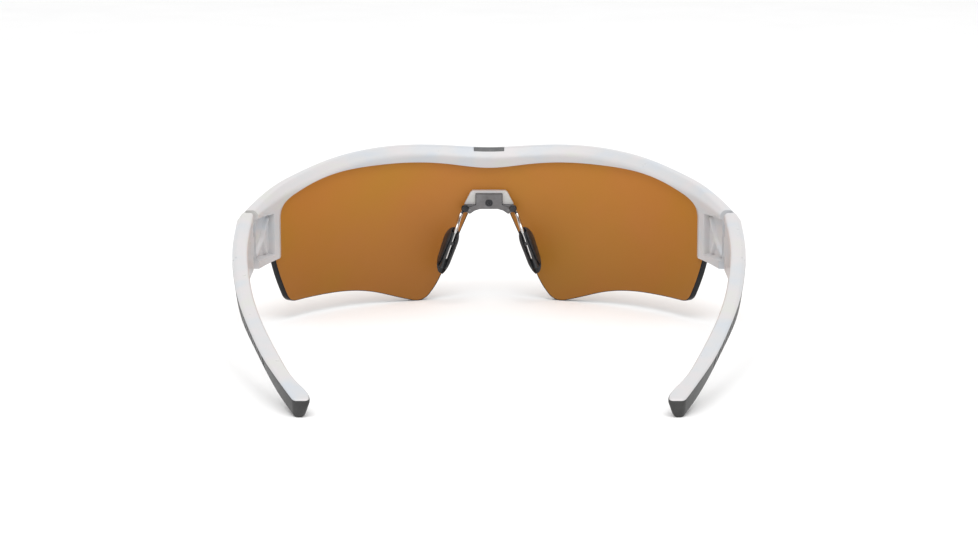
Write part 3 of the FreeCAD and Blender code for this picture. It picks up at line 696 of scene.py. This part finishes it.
def temple_body():
    front = end_stations(TEMPLE_START_Y, 1, TEMPLE_FRONT_ROUNDING, 3)
    rear = end_stations(TEMPLE_END_Y, -1, TIP_ROUNDING, 6)
    middle = [(y, 0.0) for y in np.linspace(front[0][0], rear[0][0], TEMPLE_STATIONS)[1:-1]]
    stations = list(reversed(front)) + middle + rear
    rings = [ring_through(temple_corners(y, inset), TEMPLE_ROUNDING, ARC_STEPS, TEMPLE_CUTS)
             for y, inset in stations]
    points, faces = tube_part(rings)
    points = [(p[0], p[1], max(p[2], 0.0)) for p in points]
    return object_of(mesh_of([(points, faces)]), "temple_body")


def grip_space():
    """Everything on the temple that is rubber: the outer side, the underside and the tip."""
    beyond = 3.0
    (y_low, z_low), (y_high, z_high) = GRIP_SLANT
    rings = []
    stations = [GRIP_FIRST_Y] + list(np.linspace(y_low + 0.5, TEMPLE_END_Y + 2, GRIP_STATIONS))
    for y in stations:
        at = min(y, TEMPLE_END_Y)
        x, top, bottom, width, _, outer_h, _ = TEMPLE_SIZES(at)
        ridge = top - outer_h
        web = ridge - 0.01 if y > TIP_CAP_Y else bottom + GRIP_FOOT
        wrap = min(max((y - GRIP_WRAP_Y) / GRIP_WRAP_RUN, 0.0), 1.0)
        inner_edge = bottom + GRIP_FOOT + (ridge - bottom - GRIP_FOOT) * wrap * wrap * (3 - 2 * wrap)
        ring = [(x + beyond, ridge), (x - GRIP_THICKNESS, ridge), (x - GRIP_THICKNESS, web),
                (x - GRIP_INNER_OFFSET, web), (x - GRIP_INNER_OFFSET, max(inner_edge, web)),
                (x - width - beyond, max(inner_edge, web)), (x - width - beyond, bottom - 5),
                (x + beyond, bottom - 5)]
        slant = y_low + (y_high - y_low) / (z_high - z_low) * (np.array([p[1] for p in ring]) - z_low)
        rings.append([(px, max(y, float(front_y)), pz) for (px, pz), front_y in zip(ring, slant)])
    return object_of(mesh_of([tube_part(rings)], weld=0.0005), "grip_space")


def groove_bars():
    """Round-ended slanted bars that press the anti-slip grooves into the rubber's outer face."""
    parts = []
    slant = math.radians(GROOVE_SLANT)
    for index in range(GROOVE_COUNT):
        y = GROOVE_START_Y + GROOVE_PITCH * index
        x, top, bottom, _, _, outer_h, lean = TEMPLE_SIZES(y)
        upper = np.array((x, top - outer_h))
        foot = np.array((x - lean, bottom + FOOT_CHAMFER))
        middle = (upper + foot) / 2
        up = Vector((upper[0] - foot[0], 0, upper[1] - foot[1])).normalized()
        forth = Vector(((TEMPLE_SIZES(y + 1)[0] - TEMPLE_SIZES(y - 1)[0]) / 2, 1, 0)).normalized()
        run = (up * math.cos(slant) + forth * math.sin(slant)).normalized()
        outward = forth.cross(up).normalized()
        across = run.cross(outward)
        reach = (upper[1] - foot[1]) * GROOVE_REACH
        centre = Vector((middle[0], y, middle[1]))
        outline = []
        for end in (1, -1):
            for step in range(9):
                turn = math.radians(180) * step / 8
                lengthwise = run * end * (reach + GROOVE_END_RADIUS * math.sin(turn))
                sideways = across * end * GROOVE_END_RADIUS * math.cos(turn)
                outline.append(lengthwise + sideways)
        rings = [[centre + outward * depth + p * size for p in outline] for depth, size in GROOVE_PROFILE]
        parts.append(tube_part(rings))
    return object_of(mesh_of(parts), "groove_bars")


def flipped(obj, name):
    """The right-hand twin of a left-hand piece."""
    bm = bmesh.new()
    bm.from_mesh(obj.data)
    for v in bm.verts:
        v.co.x = -v.co.x
    bmesh.ops.reverse_faces(bm, faces=bm.faces)
    mesh = bpy.data.meshes.new(name)
    bm.to_mesh(mesh)
    bm.free()
    made = linked(name, mesh)
    smooth_but_for_edges(mesh)
    return made


def temple_pieces():
    """The left temple's white core and rubber grip."""
    body = temple_body()
    for low, high in ((TEMPLE_CUT_FOOT_Z, KNUCKLE_Z[0]), (KNUCKLE_Z[1], UPPER_EAR_Z[1] + 0.5)):
        carve(body, upright(POCKET_RADIUS, PIVOT_X, low, high))
        carve(body, block((PIVOT_X - 6, PIVOT_Y - 1, low), (PIVOT_X, PIVOT_Y + POCKET_RADIUS, high)))
    carve(body, upright(BARREL_RADIUS, PIVOT_X, KNUCKLE_Z[0], KNUCKLE_Z[1]), "UNION")
    carve(body, upright(BUSH_RADIUS, PIVOT_X, TEMPLE_CUT_FOOT_Z, KNUCKLE_Z[1] + 0.2))
    grip = linked("left_grip_rubber", body.data.copy())
    carve(grip, grip_space(), "INTERSECT")
    carve(grip, groove_bars())
    carve(body, grip_space())
    body.name = "left_temple_shell"
    return body, grip


# ---------------------------------------------------------------- pad arms and nose pads

PAD_UP = (PAD_TOP - PAD_FOOT).normalized()
PAD_BACK = Vector((-0.30, 1, 0))
PAD_BACK = (PAD_BACK - PAD_UP * PAD_BACK.dot(PAD_UP)).normalized()
PAD_SIDE = PAD_BACK.cross(PAD_UP)
PAD_MIDDLE = (PAD_TOP + PAD_FOOT) / 2


def pad_place(point):
    """From the pad's own frame (wire along Z, nose side -X, back +Y) to its place, left side."""
    return PAD_MIDDLE + PAD_SIDE * point[0] + PAD_BACK * point[1] + PAD_UP * point[2]


def turned(profile, centre, axis, across, steps=32):
    """A ring-shaped piece: (radius, distance along the axis) pairs turned about the axis."""
    beside = axis.cross(across)
    rings = []
    for step in range(steps):
        turn = 2 * math.pi * step / steps
        out = across * math.cos(turn) + beside * math.sin(turn)
        rings.append([centre + out * radius + axis * height for radius, height in profile])
    columns = len(profile)
    faces = []
    for r in range(steps):
        for c in range(columns):
            here, after = r * columns, ((r + 1) % steps) * columns
            d = (c + 1) % columns
            faces.append((here + c, here + d, after + d, after + c))
    return [p for ring in rings for p in ring], faces


def wire_part(points, radius, bend, steps=20):
    """A round wire along straight runs whose corners are bent to quadratic arcs."""
    points = [Vector(p) for p in points]
    path = [points[0]]
    for before, corner, after in zip(points, points[1:], points[2:]):
        reach = min(bend, 0.45 * (corner - before).length, 0.45 * (after - corner).length)
        start = corner + (before - corner).normalized() * reach
        end = corner + (after - corner).normalized() * reach
        path += [start * (1 - t) ** 2 + corner * 2 * t * (1 - t) + end * t * t for t in np.linspace(0, 1, 9)]
    path.append(points[-1])
    across = (path[1] - path[0]).orthogonal().normalized()
    rings = []
    for i, centre in enumerate(path):
        forward = (path[min(i + 1, len(path) - 1)] - path[max(i - 1, 0)]).normalized()
        across = (across - forward * across.dot(forward)).normalized()
        beside = forward.cross(across)
        sizes = [1.0]
        shifts = [0.0]
        if i == 0:
            sizes, shifts = [0.5, 0.86, 1.0], [0.0, 0.12, 0.3]
        if i == len(path) - 1:
            sizes, shifts = [1.0, 0.86, 0.5], [-0.3, -0.12, 0.0]
        for size, shift in zip(sizes, shifts):
            turns = [2 * math.pi * k / steps for k in range(steps)]
            rings.append([centre + forward * shift
                          + (across * math.cos(a) + beside * math.sin(a)) * radius * size for a in turns])
    return tube_part(rings)


def washer_profile(inner, outer, thickness, rounding):
    return [(inner, rounding), (inner + rounding, 0), (outer - rounding, 0), (outer, rounding),
            (outer, thickness - rounding), (outer - rounding, thickness), (inner + rounding, thickness),
            (inner, thickness - rounding)]


def pad_arm_piece():
    """The bent wire that carries the left pad, with its flattened eye on the rivet."""
    eye = turned(washer_profile(RIVET_BORE, EYE_RADIUS, EYE_THICKNESS, EYE_ROUNDING),
                 Vector((SOCKET_X, EYE_FRONT_Y, SOCKET_Z)), Vector((0, 1, 0)), Vector((1, 0, 0)))
    start = Vector((SOCKET_X + WIRE_START[0], EYE_FRONT_Y + EYE_THICKNESS / 2 + WIRE_START[1],
                    SOCKET_Z + WIRE_START[2]))
    above = PAD_TOP + PAD_UP * WIRE_ABOVE_PAD
    end = PAD_FOOT + PAD_UP * WIRE_SHORT_OF_FOOT
    wire = wire_part([start, WIRE_ELBOW, above, end], WIRE_RADIUS, WIRE_BEND)
    arm = object_of(mesh_of([eye]), "left_arm_wire")
    carve(arm, object_of(mesh_of([wire]), "wire"), "UNION")
    carve(arm, rod(RIVET_BORE, (SOCKET_X, -80, SOCKET_Z), (SOCKET_X, -60, SOCKET_Z)))
    # Faces round the eye take the dark second finish: painted shade of the socket the eye sits in.
    for face in arm.data.polygons:
        away = math.hypot(face.center.x / MM - SOCKET_X, face.center.z / MM - SOCKET_Z)
        face.material_index = 1 if away < EYE_RADIUS + SOCKET_SHADE_BEYOND_EYE else 0
    return arm


def pad_blank():
    """The pad before its split: a crowned long oval, fuller towards its middle, tapered to its foot."""
    radius = PAD_DEPTH / 2
    straight = PAD_LENGTH / 2 - radius
    half = PAD_WIDTH / 2
    rings = []
    for step in range(1, PAD_RINGS):
        turn = math.pi * step / PAD_RINGS
        size = max(math.sin(turn), 0.0) ** PAD_CROWN_POWER
        height = -half * math.copysign(abs(math.cos(turn)) ** PAD_FLANK_POWER, math.cos(turn))
        stretch = PAD_SHORTEST_SHARE + (1 - PAD_SHORTEST_SHARE) * size
        ring = []
        for k in range(PAD_RING_POINTS):
            a = 2 * math.pi * k / PAD_RING_POINTS
            y = radius * size * math.cos(a)
            z = radius * size * math.sin(a) + math.copysign(straight, math.sin(a)) * stretch
            lower = min(max((-z + PAD_TAPER_START) / (PAD_LENGTH / 2), 0.0), 1.0)
            y *= 1 - PAD_FOOT_DEPTH_LOSS * lower * lower
            z -= PAD_FOOT_SAG * min(max(-height, -1.0), 1.0) * lower
            width_share = 1 - PAD_FOOT_WIDTH_LOSS * lower
            ring.append(pad_place((height * width_share, y - WIRE_BEHIND_MIDDLE, z)))
        rings.append(ring)
    return object_of(mesh_of([tube_part(rings)]), "left_pad_rubber")


def softened(obj, voxel, rounds):
    """Remeshes a small soft piece evenly and relaxes it, which rounds every edge."""
    remesh = obj.modifiers.new("even", "REMESH")
    remesh.mode = "VOXEL"
    remesh.voxel_size = voxel * MM
    relax = obj.modifiers.new("relax", "SMOOTH")
    relax.factor = 0.5
    relax.iterations = rounds
    made = baked(obj)
    obj.modifiers.clear()
    obj.data = made
    made.shade_smooth()
    return obj


def pad_piece():
    """The left nose pad: soft rubber, split down its back where the wire shows."""
    pad = pad_blank()
    slot = [[pad_place((x, y, z)) for x, y in corners]
            for corners, z in zip((PAD_SLOT_FOOT, PAD_SLOT_TOP), PAD_SLOT_Z)]
    carve(pad, object_of(mesh_of([tube_part(slot)]), "slot"))
    bore = [pad_place((0, 0, z)) for z in (-12, 12)]
    carve(pad, rod(PAD_BORE_RADIUS, bore[0], bore[1]))
    return softened(pad, PAD_SOFT_VOXEL, 4)


# ---------------------------------------------------------------- materials

class Finish:
    """A principled material being built up from nodes."""

    def __init__(self, name, **values):
        self.material = bpy.data.materials.new(name)
        self.material.use_nodes = True
        self.tree = self.material.node_tree
        self.shader = self.tree.nodes["Principled BSDF"]
        for key, value in values.items():
            self.shader.inputs[key.replace("_", " ")].default_value = value
        self.place = self.tree.nodes.new("ShaderNodeTexCoord").outputs["Object"]

    def node(self, kind, links=None, **settings):
        made = self.tree.nodes.new(kind)
        for key, value in settings.items():
            if key in made.bl_rna.properties:
                setattr(made, key, value)
            else:
                made.inputs[key.replace("_", " ")].default_value = value
        for key, source in (links or {}).items():
            self.tree.links.new(source, made.inputs[key])
        return made

    def noise(self, scale, detail=3.0, roughness=0.5, stretch=(1, 1, 1)):
        """Noise with about this many cells to the millimetre."""
        mapping = self.node("ShaderNodeMapping", {"Vector": self.place})
        mapping.inputs["Scale"].default_value = [s / MM for s in stretch]
        made = self.node("ShaderNodeTexNoise", {"Vector": mapping.outputs[0]},
                         Scale=scale, Detail=detail, Roughness=roughness)
        return made.outputs["Fac"]

    def ramp(self, source, stops):
        made = self.node("ShaderNodeValToRGB", {"Fac": source})
        elements = made.color_ramp.elements
        while len(elements) < len(stops):
            elements.new(0.5)
        for element, (position, colour) in zip(elements, stops):
            element.position = position
            element.color = (*colour, 1.0) if isinstance(colour, tuple) else (colour, colour, colour, 1.0)
        return made.outputs["Color"]

    def mix(self, share, a, b, blend="MIX"):
        made = self.node("ShaderNodeMix", data_type="RGBA", blend_type=blend)
        for socket, value in ((made.inputs[0], share), (made.inputs[6], a), (made.inputs[7], b)):
            if isinstance(value, bpy.types.NodeSocket):
                self.tree.links.new(value, socket)
            elif isinstance(value, tuple):
                socket.default_value = (*value, 1.0)
            else:
                socket.default_value = value
        return made.outputs[2]

    def between(self, source, low, high):
        made = self.node("ShaderNodeMapRange", {"Value": source})
        made.inputs["To Min"].default_value = low
        made.inputs["To Max"].default_value = high
        return made.outputs["Result"]

    def height(self):
        """The height above the table, in metres."""
        return self.node("ShaderNodeSeparateXYZ", {"Vector": self.place}).outputs["Z"]

    def colour(self, source):
        self.tree.links.new(source, self.shader.inputs["Base Color"])

    def rough(self, source, low, high):
        self.tree.links.new(self.between(source, low, high), self.shader.inputs["Roughness"])

    def bump(self, source, depth, strength=1.0):
        """Bump whose full height is depth millimetres."""
        made = self.node("ShaderNodeBump", {"Height": source}, Strength=strength, Distance=depth * MM)
        self.tree.links.new(made.outputs[0], self.shader.inputs["Normal"])


def pearl_white():
    """Moulded white with a pearl lacquer: faint warm, pink and blue drifts under a clear coat."""
    f = Finish("pearl_white", Specular_IOR_Level=0.45, Coat_Weight=0.2, Coat_Roughness=0.15, Coat_IOR=1.5)
    drift = f.noise(0.09, 2.0, 0.5, (1.0, 1.0, 2.2))
    tint = f.ramp(drift, [(0.32, (0.480, 0.507, 0.545)), (0.46, (0.518, 0.518, 0.526)),
                          (0.56, (0.543, 0.518, 0.524)), (0.68, (0.532, 0.530, 0.504))])
    flake = f.noise(9.0, 2.0, 0.6)
    f.colour(f.mix(0.10, tint, f.ramp(flake, [(0.35, 0.36), (0.7, 0.62)]), "MIX"))
    f.rough(f.noise(0.5, 3.0), 0.24, 0.36)
    f.bump(flake, 0.004, 0.35)
    return f.material


def amber_lens():
    """Tinted polycarbonate: amber through its body, a shade deeper towards the foot."""
    f = Finish("amber_lens", Roughness=0.42, IOR=1.58, Specular_IOR_Level=0.18, Transmission_Weight=0.10)
    fade = f.node("ShaderNodeMapRange", {"Value": f.height()})
    fade.inputs["From Min"].default_value = 2 * MM
    fade.inputs["From Max"].default_value = 42 * MM
    body = f.ramp(fade.outputs["Result"], [(0.0, (0.30, 0.115, 0.014)), (0.5, (0.405, 0.160, 0.022)),
                                           (1.0, (0.52, 0.208, 0.026))])
    drift = f.noise(0.035, 2.0, 0.45)
    tint = f.ramp(drift, [(0.35, (0.97, 1.04, 0.85)), (0.5, (1.0, 1.0, 1.0)), (0.65, (1.02, 0.97, 1.20))])
    f.colour(f.mix(1.0, body, tint, "MULTIPLY"))
    f.bump(f.noise(0.05, 1.0), 0.01, 0.15)
    return f.material


def lens_edge_painted_shade():
    """The lens's cut edge, left satin; its near-black colour is painted shade for how dark the tinted lens
    looks seen into its edge.
    """
    f = Finish("lens_edge_painted_shade", Specular_IOR_Level=0.2)
    grain = f.noise(3.0, 3.0, 0.55)
    # Near-black: painted shade for the dark seen looking into the tinted lens's edge.
    f.colour(f.ramp(grain, [(0.3, (0.004, 0.004, 0.005)), (0.75, (0.011, 0.012, 0.013))]))
    f.rough(grain, 0.22, 0.38)
    f.bump(f.noise(2.0, 2.0, 0.5, (1.0, 1.0, 8.0)), 0.01, 0.4)
    return f.material


def grip_rubber():
    """Soft grey over-moulded rubber with a fine moulded grain."""
    f = Finish("grip_rubber", Specular_IOR_Level=0.35, Sheen_Weight=0.15, Sheen_Roughness=0.4)
    grain = f.noise(5.0, 4.0, 0.6)
    patches = f.noise(0.35, 3.0, 0.55)
    base = f.ramp(patches, [(0.3, (0.030, 0.030, 0.029)), (0.6, (0.050, 0.050, 0.049)),
                            (0.8, (0.072, 0.072, 0.070))])
    f.colour(f.mix(0.25, base, f.ramp(grain, [(0.35, 0.02), (0.75, 0.085)])))
    f.rough(grain, 0.50, 0.72)
    f.bump(grain, 0.035, 0.6)
    return f.material


def pad_rubber():
    """Black satin rubber of the nose pads, slightly polished by wear."""
    f = Finish("pad_rubber", Specular_IOR_Level=0.35, Coat_Weight=0.05, Coat_Roughness=0.3)
    grain = f.noise(6.0, 3.0, 0.5)
    wear = f.noise(0.5, 2.0)
    f.colour(f.mix(0.3, f.ramp(wear, [(0.35, (0.012, 0.013, 0.016)), (0.7, (0.030, 0.032, 0.037))]),
                   f.ramp(grain, [(0.4, 0.008), (0.7, 0.04)])))
    f.rough(wear, 0.26, 0.46)
    f.bump(grain, 0.015, 0.4)
    return f.material


def brushed_metal(name, dark, light, low, high, stretch):
    f = Finish(name, Metallic=1.0)
    brush = f.noise(1.2, 4.0, 0.6, stretch)
    cloud = f.noise(0.4, 2.0)
    stops = [(0.3, dark), (0.7, light)]
    f.colour(f.mix(0.4, f.ramp(cloud, stops), f.ramp(brush, stops)))
    f.rough(brush, low, high)
    f.bump(brush, 0.006, 0.5)
    return f.material


def hard_plastic(name, dark, light, low, high):
    f = Finish(name, Specular_IOR_Level=0.5)
    grain = f.noise(4.0, 3.0, 0.55)
    f.colour(f.ramp(f.noise(0.6, 3.0), [(0.3, dark), (0.7, light)]))
    f.rough(grain, low, high)
    f.bump(grain, 0.012, 0.4)
    return f.material


# ---------------------------------------------------------------- putting it together

CAD_WELD = 0.002
CAD_ROUNDED_ANGLE = math.radians(40)
CAD_SHARP_ANGLE = math.radians(30)


def finish_cad(nodes, material, rounding=0.0, edge_shade_material=None):
    """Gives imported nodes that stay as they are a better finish, and rounds their edges."""
    for name in nodes:
        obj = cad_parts[name]
        obj.data.materials.clear()
        obj.data.materials.append(material)
        if rounding:
            obj.modifiers.new("weld", "WELD").merge_threshold = CAD_WELD * MM
            bevel = obj.modifiers.new("rounding", "BEVEL")
            bevel.width = rounding * MM
            bevel.segments = 3
            bevel.limit_method = "ANGLE"
            bevel.angle_limit = CAD_ROUNDED_ANGLE
            # The rounding takes a second, dark finish: a painted shade line for the gap round the piece.
            if edge_shade_material:
                obj.data.materials.append(edge_shade_material)
                bevel.material = 1
        obj.data.shade_smooth()
        obj.data.set_sharp_from_angle(angle=CAD_SHARP_ANGLE)


def build_object():
    white = pearl_white()
    rubber = grip_rubber()
    steel = brushed_metal("wire_steel", (0.50, 0.49, 0.48), (0.74, 0.73, 0.72), 0.10, 0.24, (1, 1, 6))
    plate = brushed_metal("plate_metal", (0.13, 0.125, 0.125), (0.22, 0.215, 0.22), 0.34, 0.50, (0.6, 1, 9))
    # Dark steel of the screws and rivets; the same finish paints shade on the pad arms' eyes and round the
    # bridge plate.
    dark = brushed_metal("dark_steel", (0.03, 0.03, 0.032), (0.07, 0.07, 0.075), 0.25, 0.42, (3, 3, 3))
    brass = brushed_metal("brass_insert", (0.45, 0.30, 0.11), (0.66, 0.46, 0.20), 0.22, 0.40, (4, 1, 4))
    bush = brushed_metal("bush_steel", (0.42, 0.42, 0.43), (0.60, 0.60, 0.61), 0.22, 0.36, (2, 2, 8))
    black = pad_rubber()
    inlay = hard_plastic("inlay_grey", (0.050, 0.051, 0.053), (0.085, 0.086, 0.090), 0.28, 0.42)
    sleeve = hard_plastic("sleeve_plastic", (0.016, 0.017, 0.019), (0.034, 0.035, 0.038), 0.34, 0.50)

    placed(lens_piece(), "front", "lens_amber", [amber_lens(), lens_edge_painted_shade()], "shield_lens")
    even_shading(placed(front_piece(), "front", "frame_white", white, "front_frame"))
    placed(inlay_piece(), "front", "inlay_grey", inlay, "brow_inlay")
    core, grip = temple_pieces()
    arm = pad_arm_piece()
    pad = pad_piece()
    paired = [(core, "temple", "frame_white", white, "temple_core", "temple_shell"),
              (grip, "temple", "grip_rubber", rubber, "temple_grip", "grip_rubber"),
              (arm, "arm", "wire_steel", [steel, dark], "pad_arm", "arm_wire"),
              (pad, "pad", "pad_rubber", black, "nose_pad", "pad_rubber")]
    for left, body, slot, material, node, name in paired:
        right = flipped(left, "right_" + name)
        left.name = "left_" + name
        for side, made in (("left_", left), ("right_", right)):
            placed(made, side + body, slot, material, side + node)
            if body == "temple":
                even_shading(made)

    finish_cad(["bridge_base"], white, BASE_ROUNDING)
    # The plate's rounded edges are painted dark as the shade of the gap round the plate.
    finish_cad(["bridge_plate"], plate, PLATE_ROUNDING, dark)
    finish_cad(["bridge_screw", "hinge_screws", "arm_rivets"], dark)
    finish_cad(["bridge_insert"], brass)
    finish_cad(["hinge_nuts", "left_hinge_bush", "right_hinge_bush"], bush)
    finish_cad(["left_pad_sleeve", "right_pad_sleeve"], sleeve)


# ---------------------------------------------------------------- floor, light and camera

def build_stage():
    bpy.ops.mesh.primitive_plane_add(size=12, location=(0, 0, 0))
    floor = bpy.context.object
    floor.name = "floor"
    f = Finish("floor_white", Roughness=0.75, Specular_IOR_Level=0.2)
    f.colour(f.ramp(f.noise(0.02, 2.0), [(0.3, (0.88, 0.88, 0.88)), (0.7, (0.90, 0.90, 0.90))]))
    floor.data.materials.append(f.material)
    world = bpy.data.worlds.new("studio")
    world.use_nodes = True
    world.node_tree.nodes["Background"].inputs["Color"].default_value = (1, 1, 1, 1)
    world.node_tree.nodes["Background"].inputs["Strength"].default_value = 1.0
    bpy.context.scene.world = world


def area_light(name, place, target, size, power):
    data = bpy.data.lights.new(name, "AREA")
    data.shape = "RECTANGLE"
    data.size, data.size_y = size
    data.energy = power
    lamp = linked(name, data)
    lamp.location = place
    lamp.rotation_euler = (Vector(target) - Vector(place)).to_track_quat("-Z", "Y").to_euler()


CAMERA_DISTANCE = 0.700
CAMERA_ELEVATION = math.radians(10.93)
CAMERA_TARGET = Vector((0, 0, 0.02054))
CAMERA_LENS = 95.34
LIGHT_PLACE = (0, 0.34, 1.05)
LIGHT_TARGET = (0, 0, 0.02)
LIGHT_SIZE = (1.0, 1.0)
LIGHT_POWER = 6.5


def build_camera():
    data = bpy.data.cameras.new("camera")
    data.lens = CAMERA_LENS
    data.sensor_width = 36
    data.clip_start = 0.01
    data.clip_end = 50
    camera = linked("camera", data)
    behind = Vector((0, math.cos(CAMERA_ELEVATION), math.sin(CAMERA_ELEVATION)))
    camera.location = CAMERA_TARGET + behind * CAMERA_DISTANCE
    camera.rotation_euler = (-behind).to_track_quat("-Z", "Y").to_euler()
    bpy.context.scene.camera = camera


build_object()
build_stage()
build_camera()
area_light("top", LIGHT_PLACE, LIGHT_TARGET, LIGHT_SIZE, LIGHT_POWER)
bpy.context.scene.view_settings.view_transform = "Standard"
